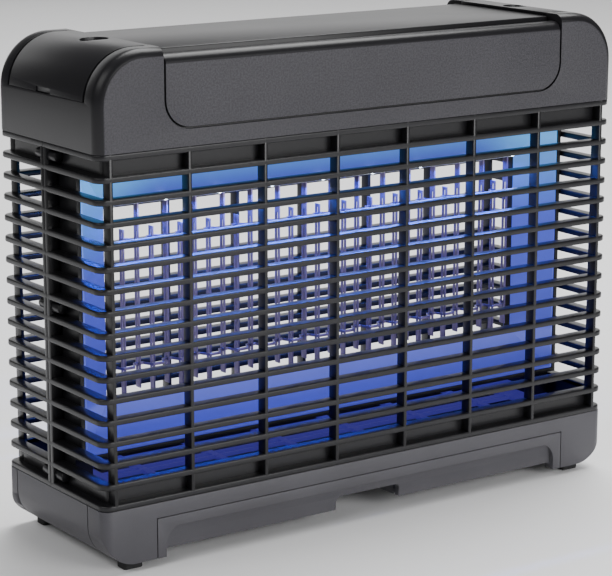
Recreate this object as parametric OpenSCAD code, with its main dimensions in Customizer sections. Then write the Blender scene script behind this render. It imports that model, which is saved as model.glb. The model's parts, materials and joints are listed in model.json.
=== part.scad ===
// Free-standing electric insect killer with blue LED lamps.
// Frame: origin on the floor under the middle of the body, +X to the right, front towards -Y, +Z up.

/* [Overall] */
// Width over the cage and both housings
body_w = 392; // [386:1:400]
// Depth over the cage and both housings
body_d = 120; // [118:1:126]
// Height from the floor to the top of the end caps
body_h = 312; // [310:1:322]
// Height of the rubber feet under the base
foot_h = 5; // [4:0.5:6]
// Height of the base housing
base_h = 35; // [34:1:38]
// Rounding of the vertical and upper long edges
edge_r = 6.5; // [5:0.5:8]

/* [Cage] */
// Number of gaps between slats, top to bottom
cage_rows = 16; // [14:1:16]
// Height from one slat to the next
slat_pitch = 13.1; // [12.8:0.1:13.3]
// Thickness of a slat
slat_t = 3.7; // [3:0.1:4.4]
// Width of the slat ring from its outer to its inner edge
slat_depth = 8; // [7:0.5:8]
// Upright ribs on the front, and as many on the back
rib_count = 8; // [6:1:9]
// Thickness of an upright rib
rib_t = 2.4; // [2:0.2:3]
// Place of the joint between the two cage halves, measured from the middle
seam_y = 4; // [0:1:6]

/* [Lamp and grid] */
// Clear width of the window that holds the electrodes
window_w = 320; // [300:2:324]
// Clear height of the window
window_h = 121.5; // [110:0.5:124]
// Height of the window's lower edge above the floor
window_z = 89.5; // [88:0.5:92]
// LED lamps along the front, and as many along the back
led_count = 9; // [5:1:12]
// Hanging electrodes; one fewer stands between them
electrode_count = 16; // [10:1:16]
// Thickness of the electrode strip
electrode_t = 1; // [0.8:0.1:1.2]

/* [Top housing] */
// Rounding of the two upper ends
end_r = 32; // [28:1:36]
// Width of the centre cover
cover_w = 300; // [290:2:304]
// Height of the cover's lower edge above the cage
apron_rise = 11; // [9:1:14]
// Angle of the folding hanging rings
ring_angle = 0; // [0:5:90]

/* [Tray] */
// Width of the tray's front
tray_w = 318; // [306:2:320]
// Height of the tray's front
tray_h = 25; // [23:1:26]
// How far the tray stands open
tray_open = 0; // [0:1:100]

/* [Hidden] */
$fn = 48;
eps = 0.01;
wall = 2.5;

base_top = foot_h + base_h;
cage_h = cage_rows * slat_pitch + slat_t;
cage_top = base_top + cage_h;
housing_h = body_h - cage_top;
base_r = 22;
slat_corner_r = 7;
inner_w = body_w - 2 * slat_depth;
inner_d = body_d - 2 * slat_depth;
plate_t = 2.2;
fit_gap = 0.4;

// Frame around the lamps and the electrodes
rib_span = inner_w - 2;
bay = rib_span / (rib_count - 1);
frame_w = inner_w - 1;
frame_d = 40;
frame_z0 = base_top + 20;
frame_z1 = cage_top - plate_t;
panel_z1 = cage_top - slat_pitch - 0.6;
web_d = 6;
insulator_h = 7;
sheet_t = 1.2;
led_pitch = (window_w - 6.4) / (led_count - 1);
lead_x = [148, 152];
window_top = window_z + window_h;
rim_w = frame_w - 2 * wall - 1;
rim_z0 = frame_z0 + wall + 0.4;
rim_z1 = panel_z1 - 0.4;
rim_y = frame_d / 2 - 0.4;
throat_y = web_d / 2 + 0.2;

// Electrodes
strip_d = 4.8;
leg_d = 1.6;
electrode_pitch = (window_w - 8) / (electrode_count - 1);
rod_t = 1.6;
rod_out = 6.5;
hot_end_z = window_z + 5;
cold_end_z = window_top - 16;
slot_z0 = window_z + 14.5;
slot_z1 = window_top - 18;
hot_rod_z = window_z + 20;
cold_rod_z = window_top - 22.5;

// Cover, end panels and hanging rings
cover_drop = 2;
shoulder_drop = 4.5;
skin_t = 2.4;
saddle_y = body_d / 2 - 13.5;
groove_w = 4;
groove_d = 1.3;
apron_r = 17;
panel_y = body_d / 2 - 16;
panel_rise = 29;
panel_t = 2;
cup_x = 162;
cup_l = 18;
cup_w = 14;
cup_h = 8;
ring_wire = 2.2;
ring_half = 3.6;
ring_reach = 10;
ring_z = body_h - 4;
ring_pivot = cup_x + 6.5;

// Base, tray and feet
bay_w = tray_w + 1.4;
bay_y = body_d / 2 - 8;
tray_front_t = 8;
notch_w = 50;
notch_d = 45;
notch_z = foot_h + 13;
tray_body_w = tray_w - 8;
rail_z = foot_h + 3;
foot_x = 173;
foot_y = 50;
foot_w = 13;
foot_l = 10;

// Screws
screw_d = 3;
head_d = 6;
head_h = 2.4;
join_rows = [0.5, 7.5, 15.5];
base_screw_x = 181.5;
base_screw_y = 7;
frame_screw_x = 140;
frame_screw_y = 14;

// Electronics
board_z = cage_top + 8;
gland_x = 171;
gland_z = cage_top + 20;

// ---- shared shapes ----

// Flat rectangle with four round corners
module round_rect(w, d, r) {
    square([w - 2 * r, d], center = true);
    square([w, d - 2 * r], center = true);
    for (x = [-1, 1], y = [-1, 1])
        translate([x * (w / 2 - r), y * (d / 2 - r)]) circle(r);
}

// Flat outline that stands on y = 0, with its two upper corners round
module arch(w, h, r) {
    translate([-w / 2, 0]) square([w, h - r]);
    translate([r - w / 2, 0]) square([w - 2 * r, h]);
    for (x = [-1, 1]) translate([x * (w / 2 - r), h - r]) circle(r);
}

// The same outline hanging upside down from y = h
module basin(w, h, r) {
    translate([0, h]) mirror([0, 1]) arch(w, h, r);
}

// A front view (x, z) drawn out along Y, and an end view (y, z) drawn out along X
module along_y(d) {
    rotate([90, 0, 0]) translate([0, 0, -d / 2]) linear_extrude(d) children();
}
module along_x(w) {
    rotate([90, 0, 90]) translate([0, 0, -w / 2]) linear_extrude(w) children();
}

// Block centred on x and y that runs from z0 to z1
module block(w, d, z0, z1) {
    translate([-w / 2, -d / 2, z0]) cube([w, d, z1 - z0]);
}

// Box between two corners
module span(a, b) {
    translate(a) cube(b - a);
}

module rod_y(d, y0, y1) {
    translate([0, y0, 0]) rotate([-90, 0, 0]) cylinder(d = d, h = y1 - y0);
}

module both_sides() {
    for (s = [0, 1]) mirror([s, 0, 0]) children();
}

module both_faces() {
    for (s = [0, 1]) mirror([0, s, 0]) children();
}

// ---- base, tray and feet ----

module base_housing() {
    color("#4b4a50") difference() {
        intersection() {
            translate([0, 0, foot_h]) along_y(body_d) basin(body_w, base_h, base_r);
            translate([0, 0, foot_h]) linear_extrude(base_h) round_rect(body_w, body_d, edge_r);
        }
        // Bay for the tray, open at the front and below
        span([-bay_w / 2, wall - body_d / 2, 0], [bay_w / 2, bay_y, base_top - 3]);
        span([-bay_w / 2, -body_d / 2 - 1, 0], [bay_w / 2, 0, foot_h + tray_h + 0.6]);
        // Way through the top for what falls off the grid
        block(body_w - 80, inner_d - 8, base_top - 4, base_top + 1);
        // Hollow ends, open below
        both_sides() difference() {
            intersection() {
                translate([0, 0, foot_h + wall]) along_y(body_d - 2 * wall)
                    basin(body_w - 2 * wall, base_h - wall - 3, base_r - wall);
                span([bay_w / 2 + 6, -body_d, 0], [body_w, body_d, base_top - 3]);
            }
            for (y = [-1, 1]) translate([foot_x, y * foot_y, 0]) linear_extrude(base_top) round_rect(foot_w + 5, foot_l + 5, 3);
            for (y = [-1, 1])
                translate([base_screw_x, y * base_screw_y, 0]) cylinder(d = head_d + 5, h = base_top);
        }
        // Sockets of the feet and ways of the screws
        for (x = [-1, 1], y = [-1, 1]) {
            translate([x * foot_x, y * foot_y, 0]) linear_extrude(foot_h + 3) round_rect(foot_w, foot_l, 2);
            translate([x * base_screw_x, y * base_screw_y, 0]) cylinder(d = screw_d, h = base_top + 1);
            translate([x * base_screw_x, y * base_screw_y, 0]) cylinder(d = head_d + 0.4, h = foot_h + 22);
        }
    }
    // Rails that carry the tray
    color("#4b4a50") both_sides()
        span([tray_body_w / 2 + 0.4, 1 - bay_y, rail_z], [bay_w / 2 + eps, bay_y, rail_z + 2]);
}

module collection_tray() {
    front = -body_d / 2;
    back = bay_y - 2;
    bottom = foot_h + 4;
    top = foot_h + tray_h;
    color("#55545a") translate([0, -tray_open, 0]) difference() {
        union() {
            span([-tray_w / 2, front, foot_h], [tray_w / 2, front + tray_front_t, top]);
            block(tray_body_w, 2 * back, bottom, top - 1.5);
            // Flanges that ride on the rails
            span([-tray_w / 2, front + 6, rail_z + 2.3], [tray_w / 2, back, rail_z + 4.3]);
        }
        difference() {
            span([2 - tray_body_w / 2, front + tray_front_t, bottom + 2],
                 [tray_body_w / 2 - 2, back - 2, body_h]);
            span([-notch_w / 2 - 2, front, 0], [notch_w / 2 + 2, front + notch_d + 2, notch_z + 2]);
        }
        span([-tray_w, back, 0], [tray_w, body_d, body_h]);
        span([-tray_w, -body_d, 0], [tray_w, front, body_h]);
        // Lower edge drawn up between the ends, and the long scoop above it
        scoop_w = tray_w - 12;
        along_y(3 * body_d) arch(scoop_w, bottom, 3);
        intersection() {
            translate([0, 0, foot_h - 1]) along_y(3 * body_d) arch(scoop_w, 20, 12);
            translate([-tray_w, front - 20.8, foot_h + 5]) rotate([0, 90, 0]) cylinder(r = 24.8, h = 2 * tray_w);
        }
        // Pocket for the fingers
        intersection() {
            along_y(3 * body_d) arch(notch_w, notch_z, 4);
            span([-notch_w, front - 1, -1], [notch_w, front + notch_d, body_h]);
        }
    }
}

module rubber_feet() {
    color("#1d1d1f") for (x = [-1, 1], y = [-1, 1])
        translate([x * foot_x, y * foot_y, 0]) linear_extrude(foot_h + 3) round_rect(foot_w, foot_l, 2);
}

module floor_grate() {
    color("#2b2a2e") difference() {
        block(inner_w - 0.8, inner_d - 0.8, base_top, base_top + plate_t);
        // Rows of drop holes, parted by long bars and a cross bar at each rib
        for (row = [[-44, -27], [-24, -4.7], [-2.3, 2.3], [4.7, 24], [27, 44]], n = [0 : rib_count - 2]) {
            x0 = max((n - (rib_count - 1) / 2) * bay + 2.5, -window_w / 2);
            x1 = min((n - (rib_count - 3) / 2) * bay - 2.5, window_w / 2);
            span([x0, row[0], base_top - 1], [x1, row[1], base_top + 9]);
        }
        for (x = [-1, 1], y = [-1, 1])
            translate([x * base_screw_x, y * base_screw_y, 0]) cylinder(d = screw_d, h = body_h);
    }
}

// Screws from below that hold the base, the floor and the cage together
module base_screws() {
    color("#8c8d90") for (x = [-1, 1], y = [-1, 1])
        translate([x * base_screw_x, y * base_screw_y, foot_h + 22 - head_h]) {
            difference() {
                cylinder(d = head_d, h = head_h);
                for (a = [0, 90]) rotate(a) block(3.6, 0.9, -1, 1.2);
            }
            translate([0, 0, head_h - eps]) cylinder(d = screw_d, h = 28 + eps);
        }
}

// ---- cage ----

module slat_ring(t) {
    linear_extrude(t) difference() {
        round_rect(body_w, body_d, slat_corner_r);
        round_rect(inner_w, inner_d, 2);
    }
}

// Everything of the cage in front of y = cut, with its joint bar there
module cage_half(cut) {
    intersection() {
        union() {
            for (n = [0 : cage_rows]) translate([0, 0, base_top + n * slat_pitch]) slat_ring(slat_t);
            // Solid bands behind the first and the last row
            for (z = [base_top, cage_top - slat_pitch - slat_t])
                translate([0, 0, z]) linear_extrude(slat_pitch + slat_t) difference() {
                    round_rect(inner_w + 2.4, inner_d + 2.4, 3);
                    round_rect(inner_w, inner_d, 2);
                }
            // Upright ribs
            for (n = [0 : rib_count - 1])
                span([n * bay - rib_span / 2 - rib_t / 2, -body_d / 2, base_top],
                     [n * bay - rib_span / 2 + rib_t / 2, -inner_d / 2, cage_top]);
            // Bars at the joint and the bosses of the joining screws
            both_sides() {
                span([inner_w / 2, cut - 3.5, base_top], [body_w / 2, cut, cage_top]);
                for (row = join_rows)
                    translate([body_w / 2 - 4.2, 0, cage_top - slat_t / 2 - row * slat_pitch])
                        rod_y(6.4, cut - 12, cut);
            }
        }
        span([-body_w, -body_d, 0], [body_w, cut, body_h]);
    }
}

module join_places() {
    both_sides() for (row = join_rows)
        translate([body_w / 2 - 4.2, 0, cage_top - slat_t / 2 - row * slat_pitch]) children();
}

module front_cage() {
    color("#2e2d30") difference() {
        cage_half(seam_y - 0.15);
        join_places() rod_y(screw_d, seam_y - 11, seam_y + 1);
    }
}

module rear_cage() {
    color("#2e2d30") difference() {
        mirror([0, 1, 0]) cage_half(-seam_y - 0.15);
        join_places() rod_y(screw_d, seam_y - 1, body_d);
        join_places() rod_y(head_d + 0.2, seam_y + 4, body_d / 2 + 1);
    }
}

module cage_screws() {
    color("#8c8d90") join_places() {
        rod_y(screw_d, seam_y - 10, seam_y + 4 + eps);
        difference() {
            rod_y(head_d, seam_y + 4, seam_y + 4 + head_h);
            for (a = [0, 90]) rotate([0, a, 0])
                span([-1.8, seam_y + 4 + head_h - 1.2, -0.45], [1.8, body_d, 0.45]);
        }
    }
}

// ---- frame, reflectors, lamps and electrodes ----

module grid_frame() {
    color("#242326") difference() {
        union() {
            block(frame_w, frame_d, frame_z0, frame_z1);
            // Legs that stand on the floor plate
            both_sides() span([frame_w / 2 - 12, -12, base_top + plate_t], [frame_w / 2, 12, frame_z0 + eps]);
        }
        for (x = [-1, 1], y = [-1, 1])
            translate([x * base_screw_x, y * base_screw_y, base_top]) cylinder(d = screw_d, h = 16);
        // Ways of the leads
        both_sides() for (x = lead_x) translate([x, 0, window_top]) cylinder(d = 2.6, h = 40);
        both_faces() span([wall - frame_w / 2, web_d / 2, frame_z0 + wall],
                          [frame_w / 2 - wall, body_d, panel_z1]);
        span([-window_w / 2, -body_d, window_z - insulator_h],
             [window_w / 2, body_d, window_top + insulator_h]);
        // Hollow above the lamps, around the pillars of the screws
        difference() {
            block(frame_w - 2 * wall, frame_d - 2 * wall, panel_z1 + wall, body_h);
            frame_places() cylinder(d = 9, h = body_h);
        }
        frame_places() translate([0, 0, cage_top - 10]) cylinder(d = screw_d, h = 20);
    }
}

// Places of the screws that hang the frame from the chassis plate
module frame_places() {
    for (x = [-1, 1], y = [-1, 1]) translate([x * frame_screw_x, y * frame_screw_y, 0]) children();
}

module frame_screws() {
    color("#8c8d90") frame_places() {
        translate([0, 0, cage_top]) difference() {
            cylinder(d = head_d, h = head_h);
            for (a = [0, 90]) rotate(a) block(3.6, 0.9, head_h - 1.2, head_h + 1);
        }
        translate([0, 0, cage_top - 9.5]) cylinder(d = screw_d, h = 9.5 + eps);
    }
}

// Sheet that narrows from the mouth of the frame to the window
module reflector() {
    module step(grow) {
        hull() {
            span([-rim_w / 2 + grow, rim_y - eps, rim_z0 + grow], [rim_w / 2 - grow, rim_y, rim_z1 - grow]);
            span([-window_w / 2 - sheet_t + grow, throat_y, window_z - sheet_t + grow],
                 [window_w / 2 + sheet_t - grow, throat_y + eps, window_top + sheet_t - grow]);
        }
    }
    difference() {
        step(0);
        step(sheet_t);
        span([-window_w / 2, 0, window_z], [window_w / 2, throat_y + 1, window_top]);
        span([-window_w / 2, rim_y - 1, rim_z0 + 30], [window_w / 2, body_d, rim_z1 - 30]);
    }
}

module front_reflector() {
    color("#5b7fd6") mirror([0, 1, 0]) reflector();
}

module rear_reflector() {
    color("#5b7fd6") reflector();
}

// Where the lamp board lies on the upper reflector panel
panel_tilt = atan2(rim_z1 - window_top - sheet_t, rim_y - throat_y);
module on_upper_panel() {
    translate([0, throat_y, window_top]) rotate([panel_tilt, 0, 0]) children();
}

module led_board() {
    on_upper_panel() span([-window_w / 2 + 1.5, 0.6, -1.3], [window_w / 2 - 1.5, 5.2, -0.3]);
}

module leds() {
    on_upper_panel() for (n = [0 : led_count - 1])
        translate([(n - (led_count - 1) / 2) * led_pitch, 2.6, -1.3]) {
            span([-1.75, -1.4, -0.8], [1.75, 1.4, 0]);
            translate([0, 0, -0.8]) mirror([0, 0, 1]) cylinder(d1 = 2.4, d2 = 1.6, h = 0.5);
        }
}

module front_led_board() { color("#e8e8ec") mirror([0, 1, 0]) led_board(); }
module rear_led_board() { color("#e8e8ec") led_board(); }
module front_leds() { color("#f4f6ff") mirror([0, 1, 0]) leds(); }
module rear_leds() { color("#f4f6ff") leds(); }

module strip_places(count) {
    for (n = [0 : count - 1]) translate([(n - (count - 1) / 2) * electrode_pitch, 0, 0]) children();
}

module strip(z0, z1, gap = 0) {
    difference() {
        block(electrode_t + gap, strip_d + gap, z0, z1);
        if (gap == 0) block(2 * electrode_t, strip_d - 2 * leg_d, slot_z0, slot_z1);
    }
}

// Cross rod that joins its own strips and steps forward around the others
module cross_rod(count, z) {
    half = electrode_pitch / 2;
    runs = [for (n = [0 : count - 2]) let (x = (n - (count - 1) / 2) * electrode_pitch)
        each [[x, 0], [x + 0.32 * half, 0], [x + 0.62 * half, -rod_out],
              [x + 1.38 * half, -rod_out], [x + 1.68 * half, 0]]];
    points = concat(runs, [[(count - 1) / 2 * electrode_pitch, 0]]);
    shift = [0, rod_t / 2];
    translate([0, 0, z - rod_t / 2]) linear_extrude(rod_t)
        polygon(concat([for (p = points) p + shift],
                       [for (n = [len(points) - 1 : -1 : 0]) points[n] - shift]));
}

module hanging_electrodes() {
    color("#8d86b8") {
        strip_places(electrode_count) strip(hot_end_z, window_top + 4);
        cross_rod(electrode_count, hot_rod_z);
    }
}

module standing_electrodes() {
    color("#7a74aa") {
        strip_places(electrode_count - 1) strip(window_z - 4, cold_end_z);
        cross_rod(electrode_count - 1, cold_rod_z);
    }
}

module upper_insulator() {
    color("#d9d5c8") difference() {
        block(window_w - 0.4, web_d, window_top, window_top + insulator_h - 0.2);
        strip_places(electrode_count) strip(window_top - 1, window_top + 4, 0.1);
    }
}

module lower_insulator() {
    color("#d9d5c8") difference() {
        block(window_w - 0.4, web_d, window_z - insulator_h + 0.2, window_z);
        strip_places(electrode_count - 1) strip(window_z - 4, window_z + 1, 0.1);
    }
}

// ---- top housing ----

module chassis_plate() {
    color("#9a9da1") difference() {
        block(inner_w - 0.8, inner_d - 0.8, cage_top - plate_t, cage_top);
        for (x = [-1, 1]) translate([x * 150, 0, 0]) cylinder(d = 8, h = body_h);
        chassis_places() cylinder(d = screw_d, h = body_h);
        frame_places() cylinder(d = screw_d, h = body_h);
        board_places() cylinder(d = screw_d, h = body_h);
    }
}

module chassis_places() {
    for (x = [-1, 1], y = [-1, 1]) translate([x * (frame_w / 2 - 20), y * 30, 0]) children();
}

module chassis_screws() {
    color("#8c8d90") chassis_places() {
        translate([0, 0, cage_top - plate_t - head_h]) difference() {
            cylinder(d = head_d, h = head_h);
            for (a = [0, 90]) rotate(a) block(3.6, 0.9, -1, 1.2);
        }
        translate([0, 0, cage_top - plate_t - eps]) cylinder(d = screw_d, h = 11);
    }
}

module apron_outline(grow) {
    h = body_h - cage_top - apron_rise + grow;
    translate([0, cage_top + apron_rise - grow])
        translate([0, h + 5]) mirror([0, 1]) arch(cover_w + 2 * grow, h + 5, apron_r + grow);
}

module top_housing() {
    inset = wall + panel_t + 0.2;
    roof = shoulder_drop + skin_t;
    color("#3d3c40") difference() {
        intersection() {
            translate([0, 0, cage_top]) along_y(body_d) arch(body_w, housing_h, end_r);
            translate([0, 0, cage_top]) linear_extrude(housing_h) round_rect(body_w, body_d, edge_r);
            translate([0, 0, cage_top]) along_x(body_w) arch(body_d, housing_h, edge_r);
        }
        // Hollow ends
        both_sides() intersection() {
            translate([0, 0, cage_top - 1]) along_y(body_d - 2 * wall)
                arch(body_w - 2 * inset, housing_h + 1 - inset, end_r - inset);
            span([cover_w / 2 + 3, -body_d, 0], [body_w, body_d, body_h - cup_h - 4.6]);
        }
        // Hollow middle
        block(cover_w + 6 + eps, body_d - 2 * (skin_t + wall), cage_top - 1, body_h - roof - wall);
        // Step that the centre cover lies on, and the way in under it
        difference() {
            along_y(body_d + 2) apron_outline(2 * fit_gap);
            translate([0, 0, cage_top - 1]) along_x(cover_w + 20)
                arch(body_d - 2 * skin_t, housing_h - roof + 1, edge_r - skin_t);
        }
        cover_places() translate([0, 0, cage_top]) rod_y(screw_d, 0, body_d);
        block(cover_w - 50, body_d - 50, cage_top, body_h);
        // Step for the end panels and the wells of the rings
        both_sides() {
            intersection() {
                difference() {
                    translate([0, 0, cage_top]) along_y(2 * panel_y + 0.6) arch(body_w + 10, housing_h + 10, end_r + 5);
                    translate([0, 0, cage_top]) along_y(body_d)
                        arch(body_w - 2 * panel_t - 0.2, housing_h - panel_t - 0.1, end_r - panel_t - 0.1);
                }
                span([cover_w / 2 - 1, -body_d, cage_top + panel_rise - 0.3], [body_w, body_d, body_h + 20]);
            }
            translate([cup_x, 0, body_h - cup_h - 1.8]) linear_extrude(cup_h + 3)
                round_rect(cup_l + 4.4, cup_w + 8.4, 6);
        }
        // Hole of the gland, in a well at the back
        translate([gland_x, 0, gland_z]) {
            rod_y(26, body_d / 2 - 7, body_d);
            rod_y(12, 0, body_d);
        }
        chassis_places() translate([0, 0, cage_top - 1]) cylinder(d = screw_d, h = 9);
    }
    color("#3d3c40") difference() {
        union() {
            // Floor of the gland's well, and the pillars of the screws
            translate([gland_x, 0, gland_z]) difference() {
                rod_y(30, body_d / 2 - 9.5, body_d / 2 - 1);
                rod_y(26, body_d / 2 - 7, body_d);
            }
            chassis_places() translate([0, 0, cage_top]) cylinder(d = 9, h = body_h - 12 - cage_top);
        }
        translate([gland_x, 0, gland_z]) rod_y(12, 0, body_d);
        chassis_places() translate([0, 0, cage_top - 1]) cylinder(d = screw_d, h = 11);
    }
}

module cover_section() {
    shoulder = housing_h - shoulder_drop;
    difference() {
        union() {
            arch(body_d, shoulder, edge_r);
            translate([-saddle_y, 0]) square([2 * saddle_y, housing_h - cover_drop]);
        }
        translate([0, -1]) arch(body_d - 2 * skin_t, shoulder - skin_t + 1, edge_r - skin_t);
        translate([skin_t - saddle_y, 0]) square([2 * (saddle_y - skin_t), housing_h - cover_drop - skin_t]);
        for (s = [-1, 1])
            translate([s * (saddle_y + groove_w / 2) - groove_w / 2, shoulder - groove_d]) square([groove_w, 9]);
    }
}

module centre_cover() {
    color("#47464b") difference() {
        intersection() {
            translate([0, 0, cage_top]) along_x(cover_w) cover_section();
            along_y(body_d + 2) apron_outline(0);
        }
        cover_places() translate([0, 0, cage_top]) rod_y(screw_d, 0, body_d);
        cover_places() translate([0, 0, cage_top]) rod_y(head_d, body_d / 2 - 1, body_d);
    }
}

// The cover is screwed to the housing through its rear apron
module cover_places() {
    for (x = [-1, 1]) translate([x * 110, 0, apron_rise + 8]) children();
}

module cover_screws() {
    color("#8c8d90") cover_places() translate([0, 0, cage_top]) {
        difference() {
            rod_y(head_d - 0.2, body_d / 2 - 1, body_d / 2 - 0.1);
            for (a = [0, 90]) rotate([0, a, 0])
                span([-1.8, body_d / 2 - 0.6, -0.45], [1.8, body_d, 0.45]);
        }
        rod_y(screw_d, body_d / 2 - 10, body_d / 2 - 1 + eps);
    }
}

module end_panel() {
    color("#3d3c40") difference() {
        union() {
            intersection() {
                translate([0, 0, cage_top]) along_y(2 * panel_y) difference() {
                    arch(body_w, housing_h, end_r);
                    translate([0, -1]) arch(body_w - 2 * panel_t, housing_h - panel_t + 1, end_r - panel_t);
                }
                span([cover_w / 2 + fit_gap + 0.4, -body_d, cage_top + panel_rise], [body_w, body_d, body_h + 1]);
            }
            intersection() {
                translate([cup_x, 0, body_h - cup_h - 1.8]) linear_extrude(cup_h + 1.8)
                    round_rect(cup_l + 3.6, cup_w + 7.6, 5.6);
                translate([0, 0, cage_top]) along_y(body_d) arch(body_w, housing_h, end_r);
            }
        }
        translate([cup_x, 0, body_h - cup_h]) linear_extrude(cup_h + 1) round_rect(cup_l, cup_w, 6.8);
        // Sockets of the ring's ends
        translate([ring_pivot, 0, ring_z]) rod_y(ring_wire + 0.1, -cup_w / 2 - 2.5, cup_w / 2 + 2.5);
        span([body_w / 2 - 1, -10, cage_top + panel_rise - 1], [body_w, 10, cage_top + panel_rise + 2.2]);
    }
}

module left_end_panel() { mirror([1, 0, 0]) end_panel(); }
module right_end_panel() { end_panel(); }

// Bent wire ring that folds up out of its well
module hanging_ring() {
    wire = ring_wire;
    color("#b9bbbe") translate([ring_pivot, 0, ring_z]) rotate([0, ring_angle, 0]) {
        rod_y(wire, -cup_w / 2 - 2, cup_w / 2 + 2);
        for (y = [-1, 1]) translate([0, y * ring_half, 0]) rotate([0, -90, 0]) cylinder(d = wire, h = ring_reach);
        translate([-ring_reach, 0, 0]) rotate([0, 0, 90]) rotate_extrude(angle = 180)
            translate([ring_half, 0]) circle(d = wire);
    }
}

module left_hanging_ring() { mirror([1, 0, 0]) hanging_ring(); }
module right_hanging_ring() { hanging_ring(); }

// ---- electronics ----

module board_places() {
    for (x = [-1, 1], y = [-1, 1]) translate([-40 + x * 58, y * 32, 0]) children();
}

module voltage_board() {
    color("#2f6b3c") difference() {
        translate([-40, 0, 0]) block(128, 74, board_z, board_z + 1.6);
        board_places() cylinder(d = screw_d, h = body_h);
    }
}

module board_screws() {
    color("#8c8d90") board_places() {
        translate([0, 0, board_z + 1.6]) difference() {
            cylinder(d = head_d, h = head_h);
            for (a = [0, 90]) rotate(a) block(3.6, 0.9, head_h - 1.2, head_h + 1);
        }
        translate([0, 0, cage_top - plate_t]) cylinder(d = screw_d, h = board_z + 1.6 - cage_top + plate_t + eps);
        // Spacer under the board
        translate([0, 0, cage_top]) cylinder(d = 6, h = board_z - cage_top);
    }
}

module transformer() {
    z = board_z + 1.6;
    color("#c9a227") translate([-78, 0, 0]) {
        block(30, 34, z, z + 5);
        block(14, 34, z + 5, z + 26);
        block(30, 16, z + 5, z + 26);
        block(30, 34, z + 26, z + 31);
    }
}

module capacitors() {
    z = board_z + 1.6;
    color("#2b4a8a") for (n = [0 : 2]) translate([-44 + n * 15, 18, z]) cylinder(d = 12.5, h = 24);
}

module diodes() {
    z = board_z + 1.6;
    color("#26262a") for (n = [0 : 3]) translate([-46 + n * 10, -24, z + 2]) rod_y(4, 0, 10);
}

module lamp_driver() {
    color("#e3e0d8") translate([70, -10, 0]) block(72, 40, cage_top, cage_top + 24);
}

module terminal_block() {
    color("#ece9e0") difference() {
        translate([128, 26, 0]) block(34, 16, cage_top, cage_top + 15);
        for (n = [-1 : 1]) translate([128 + n * 10, 22, cage_top + 8]) cylinder(d = 4.4, h = 10);
    }
}

module fuse_holder() {
    color("#1c1c1f") translate([78, 34, cage_top + 5]) rotate([0, 90, 0]) {
        cylinder(d = 10, h = 24);
        translate([0, 0, 24 - eps]) cylinder(d = 8, h = 4);
    }
}

// Leads from the boards down to the grid and the lamps
module lead(x, top) {
    translate([x, 0, window_top + insulator_h - 0.2]) cylinder(d = 2.2, h = top - window_top - insulator_h);
}

module electrode_leads() {
    color("#b3201f") for (x = lead_x) lead(-x, cage_top + 22);
}

module lamp_leads() {
    color("#e9e9ee") for (x = lead_x) lead(x, cage_top + 14);
}

// Entry for the supply lead, with its lock nut inside
module cable_gland() {
    color("#1a1a1c") translate([gland_x, 0, gland_z]) difference() {
        union() {
            rod_y(18, body_d / 2 - 7, body_d / 2 - 3.5);
            rod_y(14, body_d / 2 - 3.6, body_d / 2 - 0.6);
            rod_y(11.8, body_d / 2 - 18, body_d / 2 - 7 + eps);
        }
        rod_y(7, 0, body_d);
    }
}

module gland_nut() {
    color("#1a1a1c") translate([gland_x, 0, gland_z]) difference() {
        translate([0, body_d / 2 - 13.9, 0]) rotate([-90, 0, 0]) cylinder(d = 19, h = 4.4, $fn = 6);
        rod_y(11.8, 0, body_d);
    }
}

base_housing();
collection_tray();
rubber_feet();
floor_grate();
base_screws();
front_cage();
rear_cage();
cage_screws();
grid_frame();
front_reflector();
rear_reflector();
front_led_board();
rear_led_board();
front_leds();
rear_leds();
upper_insulator();
lower_insulator();
hanging_electrodes();
standing_electrodes();
frame_screws();
chassis_plate();
chassis_screws();
top_housing();
centre_cover();
cover_screws();
left_end_panel();
right_end_panel();
left_hanging_ring();
right_hanging_ring();
voltage_board();
transformer();
capacitors();
diodes();
lamp_driver();
terminal_block();
fuse_holder();
board_screws();
electrode_leads();
lamp_leads();
cable_gland();
gland_nut();
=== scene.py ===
import json
import math

import bmesh
import bpy
from mathutils import Matrix, Vector


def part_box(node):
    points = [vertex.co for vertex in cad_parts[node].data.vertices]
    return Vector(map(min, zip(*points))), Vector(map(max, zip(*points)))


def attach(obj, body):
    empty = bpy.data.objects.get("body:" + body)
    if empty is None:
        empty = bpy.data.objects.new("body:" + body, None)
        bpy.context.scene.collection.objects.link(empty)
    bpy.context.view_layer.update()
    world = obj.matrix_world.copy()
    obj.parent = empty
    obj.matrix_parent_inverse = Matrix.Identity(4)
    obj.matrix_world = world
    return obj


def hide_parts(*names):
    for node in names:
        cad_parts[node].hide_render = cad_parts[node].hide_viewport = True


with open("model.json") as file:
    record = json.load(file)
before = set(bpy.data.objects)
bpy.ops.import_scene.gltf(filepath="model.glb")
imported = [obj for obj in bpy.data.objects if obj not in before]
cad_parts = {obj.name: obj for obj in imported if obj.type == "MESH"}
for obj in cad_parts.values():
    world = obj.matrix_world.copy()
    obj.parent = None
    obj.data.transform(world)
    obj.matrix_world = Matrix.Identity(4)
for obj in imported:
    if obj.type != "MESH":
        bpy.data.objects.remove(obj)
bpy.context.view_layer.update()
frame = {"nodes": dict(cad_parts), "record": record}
MM = 0.001

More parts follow.
